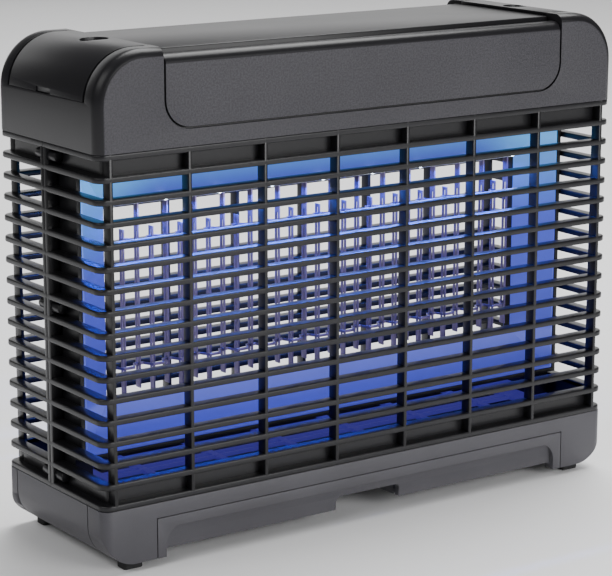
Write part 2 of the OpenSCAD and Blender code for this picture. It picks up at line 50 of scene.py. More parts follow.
# ---- Camera and studio ----
# A long lens a little above the top, turned to the left front corner. The table
# is pale, and the light soft and white: a large one overhead, one in front, a
# wide one behind that puts a sheen on the top, and one on the left.
YAW, PITCH, ROLL = math.radians(35.07), math.radians(13.02), math.radians(0.08)
forward = Vector((math.sin(YAW) * math.cos(PITCH), math.cos(YAW) * math.cos(PITCH), -math.sin(PITCH)))
level = Vector((math.cos(YAW), -math.sin(YAW), 0))
upright = level.cross(forward)
side = math.cos(ROLL) * level + math.sin(ROLL) * upright
upright = side.cross(forward)
camera_data = bpy.data.cameras.new("camera")
FRAME_W, SENSOR, LENS, CAMERA_PLACE = 612, 36, 2311, (-842.2, -1186.9, 476.0)
camera_data.lens = LENS / FRAME_W * SENSOR
camera_data.sensor_width = SENSOR
camera_data.clip_end = 20
camera = bpy.data.objects.new("camera", camera_data)
bpy.context.collection.objects.link(camera)
camera.matrix_world = Matrix.Translation(Vector(CAMERA_PLACE) * MM) @ Matrix(
    (side, upright, -forward)).transposed().to_4x4()
bpy.context.scene.camera = camera


def studio_light(name, place, target, width, height, power, colour=(1, 1, 1)):
    """A flat soft light at a place in metres, turned to its target."""
    data = bpy.data.lights.new(name, "AREA")
    data.shape = "RECTANGLE"
    data.size, data.size_y = width, height
    data.energy = power
    data.color = colour
    lamp = bpy.data.objects.new(name, data)
    bpy.context.collection.objects.link(lamp)
    lamp.location = place
    lamp.rotation_euler = (Vector(target) - Vector(place)).to_track_quat("-Z", "Y").to_euler()
    return lamp


studio_light("overhead_light", (0.9, 0.5, 2.4), (0, 0, 0), 1.8, 1.8, 95)
studio_light("front_light", (0.7, -2.5, 0.9), (0, 0, 0.15), 1.6, 1.0, 48)
studio_light("back_light", (1.2, 3.0, 1.1), (0, 0, 0.2), 4.4, 1.4, 22)
studio_light("left_light", (-2.2, -0.4, 2.0), (0, 0, 0.2), 2.6, 1.2, 34)

world = bpy.data.worlds.new("studio")
bpy.context.scene.world = world
world.use_nodes = True
world.node_tree.nodes["Background"].inputs["Color"].default_value = (1, 1, 1, 1)
world.node_tree.nodes["Background"].inputs["Strength"].default_value = 0.12

table_mesh = bpy.data.meshes.new("table")
REACH = 6
table_mesh.from_pydata([(-REACH, -REACH, 0), (REACH, -REACH, 0), (REACH, REACH, 0), (-REACH, REACH, 0)], [],
                       [(0, 1, 2, 3)])
table = bpy.data.objects.new("table", table_mesh)
bpy.context.collection.objects.link(table)


class Term:
    """A socket of a material, on which sums and products add their own nodes."""

    def __init__(self, tree, socket):
        self.tree, self.socket = tree, socket

    def node(self, kind, settings=None, **values):
        """Any other node, from its type, its settings and the values or links of its sockets."""
        made = self.tree.nodes.new("ShaderNode" + kind)
        for key, value in (settings or {}).items():
            setattr(made, key, value)
        for key, value in values.items():
            slot = made.inputs[int(key[1:])] if key[1:].isdigit() else made.inputs[key.replace("_", " ")]
            if isinstance(value, Term):
                self.tree.links.new(value.socket, slot)
            else:
                slot.default_value = value
        return made

    def of(self, kind, output=0, settings=None, **values):
        return Term(self.tree, self.node(kind, settings, **values).outputs[output])

    def maths(self, operation, *values):
        return self.of("Math", 0, {"operation": operation}, **{f"i{n}": v for n, v in enumerate(values)})

    def __add__(self, other):
        return self.maths("ADD", self, other)

    __radd__ = __add__

    def __rsub__(self, other):
        return self.maths("SUBTRACT", other, self)

    def __mul__(self, other):
        return self.maths("MULTIPLY", self, other)

    __rmul__ = __mul__

    def clamp(self):
        return self.of("Clamp", Value=self)

    def absolute(self):
        return self.maths("ABSOLUTE", self)

    def ramp(self, low, high):
        """Rises smoothly from 0 at the low value to 1 at the high one."""
        return self.of("MapRange", 0, {"interpolation_type": "SMOOTHSTEP"}, Value=self, From_Min=low, From_Max=high)

    def blend(self, first, second):
        """The first colour where this is 0, the second where it is 1."""
        mix = self.tree.nodes.new("ShaderNodeMix")
        mix.data_type = "RGBA"
        self.tree.links.new(self.socket, mix.inputs[0])
        for slot, colour in ((mix.inputs[6], first), (mix.inputs[7], second)):
            if isinstance(colour, Term):
                self.tree.links.new(colour.socket, slot)
            else:
                slot.default_value = (*colour, 1)
        return Term(self.tree, mix.outputs[2])


def finish_of(name, **fixed):
    """A new material: its surface node, and its place on the object as three numbers."""
    material = bpy.data.materials.new(name)
    material.use_nodes = True
    tree = material.node_tree
    surface = tree.nodes["Principled BSDF"]
    for key, value in fixed.items():
        surface.inputs[key.replace("_", " ")].default_value = (*value, 1) if isinstance(value, tuple) else value
    place = Term(tree, tree.nodes.new("ShaderNodeTexCoord").outputs["Object"])
    return material, surface, place


def join_to(surface, key, term):
    term.tree.links.new(term.socket, surface.inputs[key])


def grained(surface, place, scale, depth):
    """Fine moulded grain as bump, returned as a number for the colour to follow."""
    grain = place.of("TexNoise", Vector=place, Scale=scale, Detail=3.0, Roughness=0.6)
    bump = place.of("Bump", Strength=depth, Distance=0.0002, Height=grain)
    join_to(surface, "Normal", bump)
    return grain


table.data.materials.append(finish_of("table_paint", Base_Color=(0.93, 0.93, 0.935), Roughness=0.6)[0])

# ---- Slatted cage ----
# Front and rear halves of black moulded plastic, each a stack of U-shaped slats
# tied by upright ribs, with a bar and three screw bosses on each side where the
# halves meet. Each half is one moulding.
JOINT_Y, JOINT_GAP, JOINT_BAR = 4.0, 0.15, 3.5
BOSS_IN, BOSS_R, BOSS_L, BOSS_ROWS = 4.2, 3.2, 12, (0.5, 7.5, 15.5)
SLATS, SLAT_PITCH, SLAT_T = 17, 13.1, 3.7
HALF_W, HALF_D, SLAT_DEPTH = 196.0, 60.0, 8.0
cage_low, cage_high = (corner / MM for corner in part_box("front_cage"))
CAGE_LOW, CAGE_TOP = cage_low.z, cage_high.z
RIBS, RIB_T, RIB_SPAN = 8, 2.4, 374.0


def moulding(name, colour, wear, roughness, grain_scale, grain_depth):
    """Dark plastic with fine grain, patchy gloss and a little dust in the colour."""
    material, surface, place = finish_of(name, Coat_Roughness=0.12, IOR=1.45, Specular_IOR_Level=0.4)
    grain = grained(surface, place, grain_scale, grain_depth)
    patches = place.of("TexNoise", Vector=place, Scale=14.0, Detail=4.0, Roughness=0.55)
    join_to(surface, "Base Color", (patches.ramp(0.3, 0.75) * 0.6 + grain * 0.4).clamp().blend(colour, wear))
    join_to(surface, "Roughness", patches * 0.12 + (roughness - 0.06))
    return material


cage_finish = moulding("cage_plastic", (0.008, 0.0078, 0.009), (0.014, 0.0137, 0.0155), 0.30, 900, 0.2)


def solid(name, verts, faces):
    """A new object from points in millimetres."""
    mesh = bpy.data.meshes.new(name)
    mesh.from_pydata([Vector(v) * MM for v in verts], [], faces)
    shape = bmesh.new()
    shape.from_mesh(mesh)
    bmesh.ops.remove_doubles(shape, verts=shape.verts, dist=1e-7)
    bmesh.ops.recalc_face_normals(shape, faces=shape.faces)
    shape.to_mesh(mesh)
    shape.free()
    made = bpy.data.objects.new(name, mesh)
    bpy.context.collection.objects.link(made)
    return made


def lofted(name, rings):
    """Skin over rings of equal length, capped at both ends."""
    n = len(rings[0])
    faces = []
    for row in range(len(rings) - 1):
        for k in range(n):
            a, b = row * n + k, row * n + (k + 1) % n
            faces.append((a, b, b + n, a + n))
    faces += [tuple(range(n)), tuple(range((len(rings) - 1) * n, len(rings) * n))]
    return solid(name, [v for ring in rings for v in ring], faces)


def corner_path(half_w, half_d, radius, cut, steps=7):
    """Half of a rounded rectangle, open at the back, from the right to the left."""
    points = [(half_w, cut)]
    for turn in range(steps + 1):
        angle = math.pi / 2 * turn / steps
        points.append((half_w - radius + radius * math.cos(angle), -half_d + radius - radius * math.sin(angle)))
    for turn in range(steps + 1):
        angle = math.pi / 2 * (1 + turn / steps)
        points.append((-half_w + radius + radius * math.cos(angle), -half_d + radius - radius * math.sin(angle)))
    return points + [(-half_w, cut)]


def eased_box(width, height, radius, steps=3):
    """Outline of a rectangle from 0 to width and 0 to height, with round corners."""
    points = []
    for turn, (x, y) in enumerate(((width - radius, radius), (width - radius, height - radius),
                                   (radius, height - radius), (radius, radius))):
        for step in range(steps + 1):
            angle = math.pi / 2 * (turn - 1 + step / steps)
            points.append((x + radius * math.cos(angle), y + radius * math.sin(angle)))
    return points


def plain_copy(made):
    """The finished mesh of an object, with its modifiers worked in and removed."""
    graph = bpy.context.evaluated_depsgraph_get()
    mesh = bpy.data.meshes.new_from_object(made.evaluated_get(graph))
    made.modifiers.clear()
    made.data = mesh
    return made


def smooth(made, angle=32.0):
    """Shades smooth, and keeps edges sharper than the angle."""
    for face in made.data.polygons:
        face.use_smooth = True
    made.data.set_sharp_from_angle(angle=math.radians(angle))
    return made


def row_tree(name):
    """Geometry nodes that set copies of a shape out in a straight row."""
    tree = bpy.data.node_groups.new(name, "GeometryNodeTree")
    face = tree.interface
    face.new_socket("Geometry", in_out="INPUT", socket_type="NodeSocketGeometry")
    for key, kind in (("Count", "Int"), ("First", "Vector"), ("Step", "Vector"), ("Finish", "Material")):
        face.new_socket(key, in_out="INPUT", socket_type="NodeSocket" + kind)
    face.new_socket("Geometry", in_out="OUTPUT", socket_type="NodeSocketGeometry")
    given, result = tree.nodes.new("NodeGroupInput"), tree.nodes.new("NodeGroupOutput")
    line = tree.nodes.new("GeometryNodeMeshLine")
    line.mode = "OFFSET"
    copies = tree.nodes.new("GeometryNodeInstanceOnPoints")
    real = tree.nodes.new("GeometryNodeRealizeInstances")
    paint = tree.nodes.new("GeometryNodeSetMaterial")
    link = tree.links.new
    link(given.outputs["Count"], line.inputs["Count"])
    link(given.outputs["First"], line.inputs["Start Location"])
    link(given.outputs["Step"], line.inputs["Offset"])
    link(line.outputs["Mesh"], copies.inputs["Points"])
    link(given.outputs["Geometry"], copies.inputs["Instance"])
    link(copies.outputs["Instances"], real.inputs["Geometry"])
    link(real.outputs["Geometry"], paint.inputs["Geometry"])
    link(given.outputs["Finish"], paint.inputs["Material"])
    link(paint.outputs["Geometry"], result.inputs["Geometry"])
    return tree


set_out_in_row = row_tree("set_out_in_row")


def in_row(made, count, step, finish, first=(0, 0, 0)):
    """Repeats an object's shape in a row, as one plain mesh in one finish."""
    modifier = made.modifiers.new("row", "NODES")
    modifier.node_group = set_out_in_row
    values = {"Count": count, "First": tuple(v * MM for v in first), "Step": tuple(v * MM for v in step),
              "Finish": finish}
    for item in set_out_in_row.interface.items_tree:
        if item.in_out == "INPUT" and item.name in values:
            modifier[item.identifier] = values[item.name]
    return plain_copy(made)


def painted(made, finish):
    """Gives a whole object one finish."""
    made.data.materials.clear()
    made.data.materials.append(finish)
    for face in made.data.polygons:
        face.material_index = 0
    return made


def fused(name, parts, finish):
    """One object in one finish from several, which are used up."""
    shape = bmesh.new()
    for part in parts:
        shape.from_mesh(part.data)
    for part in parts:
        bpy.data.objects.remove(part)
    mesh = bpy.data.meshes.new(name)
    shape.to_mesh(mesh)
    shape.free()
    made = bpy.data.objects.new(name, mesh)
    bpy.context.collection.objects.link(made)
    return painted(made, finish)


def placed(made, body, slot, *nodes):
    """Says which body a piece rides on and the nodes it stands for; the finish argument is not used."""
    if nodes:
        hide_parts(*nodes)
    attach(made, body)
    return made


def eased_block(name, low, high, radius, steps=2):
    """A box between two corners, with its edges along Z and its rims rounded."""
    width, depth = high[0] - low[0], high[1] - low[1]
    rings, angles = [], [math.pi / 2 * step / steps for step in range(steps + 1)]
    for inset, z in ([(radius * (1 - math.sin(a)), low[2] + radius * (1 - math.cos(a))) for a in angles] +
                     [(radius * (1 - math.cos(a)), high[2] - radius * (1 - math.sin(a))) for a in angles]):
        outline = eased_box(width - 2 * inset, depth - 2 * inset, max(radius - inset, 0.02) + 0.01, steps)
        rings.append([(low[0] + inset + x, low[1] + inset + y, z) for x, y in outline])
    return lofted(name, rings)


def round_bar(name, centre, axis, radius, length, sides=20, ease=0.3):
    """A round bar with eased ends, from a centre at its start."""
    turn = Vector(axis).to_track_quat("Z", "Y").to_matrix()
    rings = []
    for grow, along in ((-ease, 0), (-0.3 * ease, 0.3 * ease), (0, ease), (0, length - ease),
                        (-0.3 * ease, length - 0.3 * ease), (-ease, length)):
        rings.append([Vector(centre) + turn @ Vector(((radius + grow) * math.cos(2 * math.pi * k / sides),
                                                      (radius + grow) * math.sin(2 * math.pi * k / sides), along))
                      for k in range(sides)])
    return lofted(name, rings)


def flipped_y(made):
    """Turns a front piece into its rear twin."""
    for point in made.data.vertices:
        point.co.y = -point.co.y
    made.data.flip_normals()
    return made


def cage_moulding(name, cut, rear):
    """One half of the cage up to its joint: slats, two solid bands, ribs, side bars and bosses."""
    outer = corner_path(HALF_W, HALF_D, 7.0, cut)
    inner = corner_path(HALF_W - SLAT_DEPTH, HALF_D - SLAT_DEPTH, 2.0, cut)
    section = [(x / SLAT_DEPTH, z) for x, z in eased_box(SLAT_DEPTH, SLAT_T, 0.85)]
    rings = [[(a[0] + (b[0] - a[0]) * t, a[1] + (b[1] - a[1]) * t, CAGE_LOW + z) for t, z in section]
             for a, b in zip(outer, inner)]
    slats = in_row(lofted("slat", rings), SLATS, (0, 0, SLAT_PITCH), cage_finish)
    outer = corner_path(HALF_W - SLAT_DEPTH + 1.2, HALF_D - SLAT_DEPTH + 1.2, 3.0, cut)
    low, high = CAGE_LOW + 0.5, CAGE_LOW + SLAT_PITCH + SLAT_T - 0.5
    rings = [[(*a, low), (*a, high), (*b, high), (*b, low)] for a, b in zip(outer, inner)]
    bands = in_row(lofted("band", rings), 2, (0, 0, (SLATS - 2) * SLAT_PITCH), cage_finish)
    rib = eased_block("rib", (-RIB_T / 2, -HALF_D + 0.04, CAGE_LOW + 0.05),
                      (RIB_T / 2, -HALF_D + SLAT_DEPTH - 0.1, CAGE_TOP - 0.05), 0.45)
    ribs = in_row(rib, RIBS, (RIB_SPAN / (RIBS - 1), 0, 0), cage_finish, (-RIB_SPAN / 2, 0, 0))
    parts = [slats, bands, ribs]
    for x in (-1, 1):
        near, far = sorted((x * (HALF_W - SLAT_DEPTH + 0.1), x * (HALF_W - 0.04)))
        parts.append(eased_block("bar", (near, cut - JOINT_BAR, CAGE_LOW + 0.05), (far, cut, CAGE_TOP - 0.05), 0.5))
        for row in BOSS_ROWS:
            place = x * (HALF_W - BOSS_IN), cut - BOSS_L, CAGE_TOP - SLAT_T / 2 - row * SLAT_PITCH
            parts.append(round_bar("boss", place, (0, 1, 0), BOSS_R, BOSS_L, ease=0.5))
    half = smooth(fused(name, parts, cage_finish))
    return flipped_y(half) if rear else half


front_slats = cage_moulding("front_slats", JOINT_Y - JOINT_GAP, False)
rear_slats = cage_moulding("rear_slats", -JOINT_Y - JOINT_GAP, True)
placed(front_slats, "main", "cage_plastic", "front_cage")
placed(rear_slats, "main", "cage_plastic", "rear_cage")

# ---- Base housing, tray and feet ----
# The base is one thick moulding with large round lower corners. The tray slides
# in from the front, its face flush with the base and scooped out below, and four
# rubber blocks are pressed into the base as feet.
base_finish = moulding("base_plastic", (0.060, 0.058, 0.066), (0.078, 0.076, 0.086), 0.45, 1100, 0.35)
tray_finish = moulding("tray_plastic", (0.060, 0.058, 0.066), (0.078, 0.076, 0.086), 0.43, 1100, 0.35)


def eased_copy(node, name, width, finish):
    """A new piece in a node's shape, with its edges eased."""
    source = frame["nodes"][node]
    shape = bmesh.new()
    shape.from_mesh(source.data)
    bmesh.ops.remove_doubles(shape, verts=shape.verts, dist=1e-6)
    bmesh.ops.dissolve_limit(shape, angle_limit=math.radians(0.3), verts=shape.verts, edges=shape.edges)
    mesh = bpy.data.meshes.new(name)
    shape.to_mesh(mesh)
    shape.free()
    mesh.materials.clear()
    mesh.materials.append(finish)
    for face in mesh.polygons:
        face.material_index = 0
    made = bpy.data.objects.new(name, mesh)
    bpy.context.collection.objects.link(made)
    ease = made.modifiers.new("ease", "BEVEL")
    ease.width, ease.segments = width * MM, 2
    ease.limit_method, ease.angle_limit = "ANGLE", math.radians(30)
    ease.use_clamp_overlap = True
    return smooth(plain_copy(made))


base = eased_copy("base_housing", "base", 0.5, base_finish)
placed(eased_copy("collection_tray", "tray", 0.5, tray_finish), "tray", "tray_plastic", "collection_tray")
foot_finish = moulding("foot_rubber", (0.014, 0.014, 0.015), (0.022, 0.022, 0.023), 0.75, 1500, 0.4)
placed(eased_copy("rubber_feet", "feet", 0.9, foot_finish), "main", "foot_rubber", "rubber_feet")

# ---- Floor grate and lamp frame ----
# A dark grate lies across the foot of the cage. The lamps' violet-blue wash on it is
# painted: a blue tint in its colour and a glow. The frame stands on it and carries the
# reflectors, lamps and electrodes; both are black mouldings, the grate with the painted wash.
# The grate's blue tint and its violet-blue glow are painted lamp light, the glow as an emission.
grate_finish = moulding("grate_plastic", (0.012, 0.012, 0.03), (0.018, 0.018, 0.04), 0.7, 900, 0.25)
painted_grate_glow = grate_finish.node_tree.nodes["Principled BSDF"]
painted_grate_glow.inputs["Emission Color"].default_value = (0.06, 0.045, 0.42, 1)
painted_grate_glow.inputs["Emission Strength"].default_value = 0.5
frame_finish = moulding("frame_plastic", (0.010, 0.010, 0.012), (0.016, 0.016, 0.018), 0.38, 900, 0.2)
placed(eased_copy("floor_grate", "grate", 0.35, grate_finish), "main", "dark_plastic", "floor_grate")
placed(eased_copy("grid_frame", "lamp_frame", 0.4, frame_finish), "main", "dark_plastic", "grid_frame")

# ---- Reflectors ----
# A funnel of bright sheet leads from each face of the frame to the window. The blue light of the
# lamps under its upper panel is painted on it, palest near them and at both ends.


def lit_sheet(name):
    """Sheet metal with the lamps' blue light painted on as its colour and a glow, by height and distance from the
    middle.
    """
    material, surface, place = finish_of(name, Metallic=0.6, Roughness=0.3, Base_Color=(0.07, 0.10, 0.36))
    parts = place.node("SeparateXYZ", Vector=place)
    x, z = Term(place.tree, parts.outputs[0]), Term(place.tree, parts.outputs[2])
    high = z.ramp(0.06, 0.205)
    near_top = z.ramp(0.165, 0.228)
    ends = x.absolute().ramp(0.12, 0.17)
    # A painted blue glow, paler higher up.
    sheet_glow = high.blend((0.045, 0.048, 0.30), (0.058, 0.075, 0.46))
    # Painted glare near the lamps, along the top and brightest at both ends.
    lamp_glare = (z.ramp(0.213, 0.236) * 0.6 + near_top * ends * 0.75).clamp()
    # A painted light streak across the lower panel.
    painted_streak = z.ramp(0.070, 0.088) * (1 - z.ramp(0.0895, 0.094))
    sheet_glow = (painted_streak * 0.8).blend(sheet_glow, (0.125, 0.145, 0.52))
    join_to(surface, "Emission Color", lamp_glare.blend(sheet_glow, (0.11, 0.46, 0.95)))
    surface.inputs["Emission Strength"].default_value = 1.0
    rolled = place.of("TexNoise", Vector=place, Scale=60.0, Detail=2.0)
    join_to(surface, "Normal", place.of("Bump", Strength=0.12, Distance=0.001, Height=rolled))
    return material


sheet_finish = lit_sheet("reflector_sheet")
for which in ("front", "rear"):
    placed(eased_copy(which + "_reflector", which + "_sheet", 0.15, sheet_finish), "main", "reflector_sheet",
           which + "_reflector")

# ---- Lamps ----
# Nine small white lamps hang in a row from a narrow board under the upper panel
# of each reflector, front and rear.
lamp_light_colour = (0.07, 0.16, 1.0)
lamp_finish = finish_of("lamp_cap", Base_Color=(0.8, 0.9, 1.0), Roughness=0.2, Emission_Color=(0.75, 0.88, 1.0),
                        Emission_Strength=14.0)[0]
board_finish = moulding("lamp_board", (0.55, 0.57, 0.62), (0.65, 0.67, 0.72), 0.4, 400, 0.1)
LAMPS, LAMP_PITCH, LAMP_TILT = 9, (320.0 - 6.4) / 8, math.radians(30)


def lamp_row(which):
    """A row of lamps: each a small oval case with a domed lens, tilted with the panel."""
    low, high = (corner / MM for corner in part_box(which + "_leds"))
    turn = -1 if which == "front" else 1
    centre_y, centre_z = turn * (abs(low.y) + abs(high.y)) / 2, (low.z + high.z) / 2
    centre, tilt = Vector((0, centre_y, centre_z)), Matrix.Rotation(turn * -LAMP_TILT, 3, "X")
    case, lens = ((0.2, 0.9), (1.7, 0.9), (1.75, 0.8), (1.75, 0.0)), ((1.3, -0.05), (1.25, -0.4), (1.0, -0.85),
                                                                      (0.6, -1.1), (0.15, -1.2))
    rings = []
    for radius, drop in case + lens:
        rings.append([centre + tilt @ Vector((radius * math.cos(a), 0.8 * radius * math.sin(a), drop))
                      for a in (2 * math.pi * k / 16 for k in range(16))])
    return in_row(smooth(lofted(which + "_lamps", rings), 40), LAMPS, (LAMP_PITCH, 0, 0), lamp_finish,
                  (-(LAMPS - 1) / 2 * LAMP_PITCH, 0, 0))


for which in ("front", "rear"):
    placed(lamp_row(which), "main", "lamp", which + "_leds")
    placed(eased_copy(which + "_led_board", which + "_lamp_board", 0.1, board_finish), "main", "lamp_board",
           which + "_led_board")
# What the lamps throw on the electrodes and the cage, and what the sheet throws
# back down on the grate.
for turn, name in ((-1, "front"), (1, "rear")):
    studio_light(name + "_lamp_glow", (0, turn * 0.0085, 0.2085), (0, turn * 0.030, 0.10), 0.31, 0.004, 0.55,
                 lamp_light_colour)
    studio_light(name + "_frame_glow", (0, turn * 0.030, 0.16), (0, turn * 0.036, 0.04), 0.34, 0.02, 0.018,
                 lamp_light_colour)

# ---- Electrodes and insulators ----
# Flat strips bent from thin sheet hang from the upper insulator and stand on
# the lower one in turn, each set tied by a stepped cross rod.
strip_finish, surface, place = finish_of("electrode_steel", Metallic=0.75, IOR=1.5)
sheen = grained(surface, place, 300, 0.1)
# The steel's violet colour is painted lamp light; the grain varies it at random.
join_to(surface, "Base Color", sheen.blend((0.13, 0.10, 0.24), (0.22, 0.18, 0.36)))
join_to(surface, "Roughness", sheen * 0.2 + 0.22)
insulator_finish = moulding("insulator", (0.05, 0.05, 0.10), (0.08, 0.08, 0.14), 0.4, 500, 0.1)
for node in ("hanging_electrodes", "standing_electrodes"):
    placed(eased_copy(node, node.replace("electrodes", "strips"), 0.12, strip_finish), "main", "electrode_steel", node)
for node in ("upper_insulator", "lower_insulator"):
    placed(eased_copy(node, node + "_bar", 0.2, insulator_finish), "main", "insulator", node)

# ---- Top housing ----
# A deep moulded cap with round upper ends and a wide fillet all round its front
# and rear faces. It is sunk where the cover and the end panels lie, hollow for
# the electronics, and has a well for the gland at the back.
HOUSING_TOP, FILLET, END_R = 312.0, 6.5, 32.0


def faced_moulding(name, colour, wear, flat_at):
    """Plastic with a grained flat front and rear, and polished everywhere else; the grained faces are lighter, partly
    their speckle and partly a painted sheen.
    """
    material, surface, place = finish_of(name, Coat_Roughness=0.08, IOR=1.45, Specular_IOR_Level=0.28)
    depth = Term(place.tree, place.node("SeparateXYZ", Vector=place).outputs[1]).absolute()
    flat = depth.ramp((flat_at - 0.35) * MM, (flat_at - 0.08) * MM)
    grain = place.of("TexNoise", Vector=place, Scale=850.0, Detail=3.0, Roughness=0.65)
    patches = place.of("TexNoise", Vector=place, Scale=11.0, Detail=4.0, Roughness=0.55)
    join_to(surface, "Normal", place.of("Bump", Strength=0.6, Distance=0.0006, Height=grain * flat))
    speckle_and_sheen = (patches.ramp(0.3, 0.75) * 0.3 + grain.ramp(0.35, 0.65) * 0.7).clamp().blend(colour, wear)
    # The grained faces' colour is far lighter than the polished faces': partly the grain's own speckle, partly a
    # painted sheen for the light the grain scatters.
    join_to(surface, "Base Color", flat.blend((0.0105, 0.0102, 0.0118), speckle_and_sheen))
    join_to(surface, "Roughness", flat * 0.12 + patches * 0.06 + 0.29)
    return material


housing_finish = faced_moulding("housing_plastic", (0.034, 0.033, 0.038), (0.062, 0.060, 0.068), HALF_D)


def arch_outline(half_w, low, top, radius, inset=0.0, steps=20):
    """Upright outline in X and Z with round upper corners, drawn in by an inset."""
    half_w, top, radius = half_w - inset, top - inset, max(radius - inset, 0.05)
    points = [(half_w, low)]
    for step in range(steps + 1):
        angle = math.pi / 2 * step / steps
        points.append((half_w - radius + radius * math.cos(angle), top - radius + radius * math.sin(angle)))
    for step in range(steps + 1):
        angle = math.pi / 2 * (1 + step / steps)
        points.append((radius - half_w + radius * math.cos(angle), top - radius + radius * math.sin(angle)))
    return points + [(-half_w, low)]


def filleted_cap(name, half_w, half_d, low, top, radius, fillet, steps=10):
    """The arch drawn out along Y, with a fillet around its front and rear faces."""
    profile = [(fillet + 0.4, -half_d)]
    profile += [(fillet * (1 - math.sin(a)), -half_d + fillet * (1 - math.cos(a)))
                for a in (math.pi / 2 * s / steps for s in range(steps + 1))]
    profile += [(0.0, -half_d + fillet + 0.4)]
    profile += [(inset, -y) for inset, y in reversed(profile)]
    rings = [[(x, y, z) for x, z in arch_outline(half_w, low, top, radius, inset)] for inset, y in profile]
    return lofted(name, rings)


def prism_y(name, outline, low, high):
    """A front view drawn out along Y."""
    return lofted(name, [[(x, low, z) for x, z in outline], [(x, high, z) for x, z in outline]])


def prism_x(name, outline, low, high):
    """An end view, as (y, z), drawn out along X."""
    return lofted(name, [[(low, y, z) for y, z in outline], [(high, y, z) for y, z in outline]])


def prism_z(name, outline, low, high):
    """A top view drawn out along Z."""
    return lofted(name, [[(x, y, low) for x, y in outline], [(x, y, high) for x, y in outline]])


def worked(made, operation, tool):
    """Cuts, adds or keeps in common, and uses the tool up."""
    step = made.modifiers.new("work", "BOOLEAN")
    step.operation, step.object, step.solver = operation, tool, "EXACT"
    plain_copy(made)
    bpy.data.objects.remove(tool)
    return made


def eased(made, width, segments=2, angle=40.0):
    """Merges what a cut left behind and eases the sharp edges."""
    shape = bmesh.new()
    shape.from_mesh(made.data)
    bmesh.ops.remove_doubles(shape, verts=shape.verts, dist=2e-6)
    bmesh.ops.dissolve_degenerate(shape, dist=2e-6, edges=shape.edges)
    shape.to_mesh(made.data)
    shape.free()
    ease = made.modifiers.new("ease", "BEVEL")
    ease.width, ease.segments = width * MM, segments
    ease.limit_method, ease.angle_limit = "ANGLE", math.radians(angle)
    ease.use_clamp_overlap = True
    return smooth(plain_copy(made))


def apron_outline(grow, steps=10):
    """Front view of the cover: straight up, with round lower corners."""
    half, low, radius = 150.0 + grow, CAGE_TOP + 11 - grow, 17.0 + grow
    points = [(half, 330.0), (-half, 330.0)]
    for step in range(steps + 1):
        angle = math.pi * (1 + 0.5 * step / steps)
        points.append((radius - half + radius * math.cos(angle), low + radius + radius * math.sin(angle)))
    for step in range(steps + 1):
        angle = math.pi * (1.5 + 0.5 * step / steps)
        points.append((half - radius + radius * math.cos(angle), low + radius + radius * math.sin(angle)))
    return points


def oval(centre, length, width, steps=12):
    """Slot-shaped outline along X."""
    points = []
    for turn, sign in ((0, 1), (1, -1)):
        for step in range(steps + 1):
            angle = math.pi * (-0.5 + turn + step / steps)
            points.append((centre + sign * (length - width) / 2 + width / 2 * math.cos(angle),
                           width / 2 * math.sin(angle)))
    return points


def end_cutter(x, inward, low):
    """A block that takes in one end of the housing from a place along X and a height upwards."""
    near, far = sorted((x * inward, x * 220.0))
    return prism_z("end", [(near, -FAR), (far, -FAR), (far, FAR), (near, FAR)], low, ABOVE)


def arch_prism(name, inset, low, low_y, high_y):
    """The housing's arch drawn in by an inset, or out where that is below zero."""
    return prism_y(name, arch_outline(HALF_W - inset, low, HOUSING_TOP - inset, END_R - inset), low_y, high_y)


FAR, ABOVE, BESIDE, WITHIN = 70, 340, 200, 190
SKIN, SHOULDER_DROP, COVER_DROP = 2.4, 4.5, 2.0
SEAT_GAP, PANEL_GAP, GROOVE_NEAR, GROOVE_FAR = 0.8, 0.3, 43.5, 46.2
PANEL_T, PANEL_HALF_D, PANEL_LOW = 2.0, 44.0, CAGE_TOP + 29
CUP_X, CUP_L, CUP_W, CUP_H, CUP_T = 162.0, 18.0, 14.0, 8.0, 1.8
GLAND_X, GLAND_Z, GLAND_SEAT_R, GLAND_WAY_R = 171.0, CAGE_TOP + 20, 13, 6

core_section = arch_outline(HALF_D - SKIN, CAGE_TOP - 5, HOUSING_TOP - SHOULDER_DROP - SKIN, FILLET - SKIN, 0, 8)
housing = filleted_cap("housing", HALF_W, HALF_D, CAGE_TOP, HOUSING_TOP, END_R, FILLET)
step_cutter = prism_y("step", apron_outline(SEAT_GAP), -80, 80)
worked(step_cutter, "DIFFERENCE", prism_x("core", core_section, -170, 170))
worked(housing, "DIFFERENCE", step_cutter)
for x in (-1, 1):
    band = arch_prism("band", -5, BESIDE, -PANEL_HALF_D - PANEL_GAP, PANEL_HALF_D + PANEL_GAP)
    worked(band, "DIFFERENCE", arch_prism("inner", PANEL_T + 0.1, WITHIN, -FAR, FAR))
    worked(band, "INTERSECT", end_cutter(x, 149.0, PANEL_LOW - PANEL_GAP))
    worked(housing, "DIFFERENCE", band)
    worked(housing, "DIFFERENCE", prism_z("well", oval(x * CUP_X, CUP_L + 4.4, CUP_W + 8.4),
                                          HOUSING_TOP - CUP_H - CUP_T, 330))
    for y in (-1, 1):
        groove = arch_prism("groove", -5, BESIDE, *sorted((y * GROOVE_NEAR, y * GROOVE_FAR)))
        worked(groove, "DIFFERENCE", arch_prism("inner", 1.4, WITHIN, -FAR, FAR))
        worked(groove, "INTERSECT", end_cutter(x, 155.0, PANEL_LOW - PANEL_GAP))
        worked(housing, "DIFFERENCE", groove)
cavity_outline = arch_outline(HALF_W - 4.7, CAGE_TOP - 5, HOUSING_TOP - 12.6, END_R - 14)
worked(housing, "DIFFERENCE", prism_y("cavity", cavity_outline, -HALF_D + 5.3, HALF_D - 5.3))
worked(housing, "DIFFERENCE", round_bar("gland_well", (GLAND_X, 53, GLAND_Z), (0, 1, 0), GLAND_SEAT_R, 20, 48, 0.01))
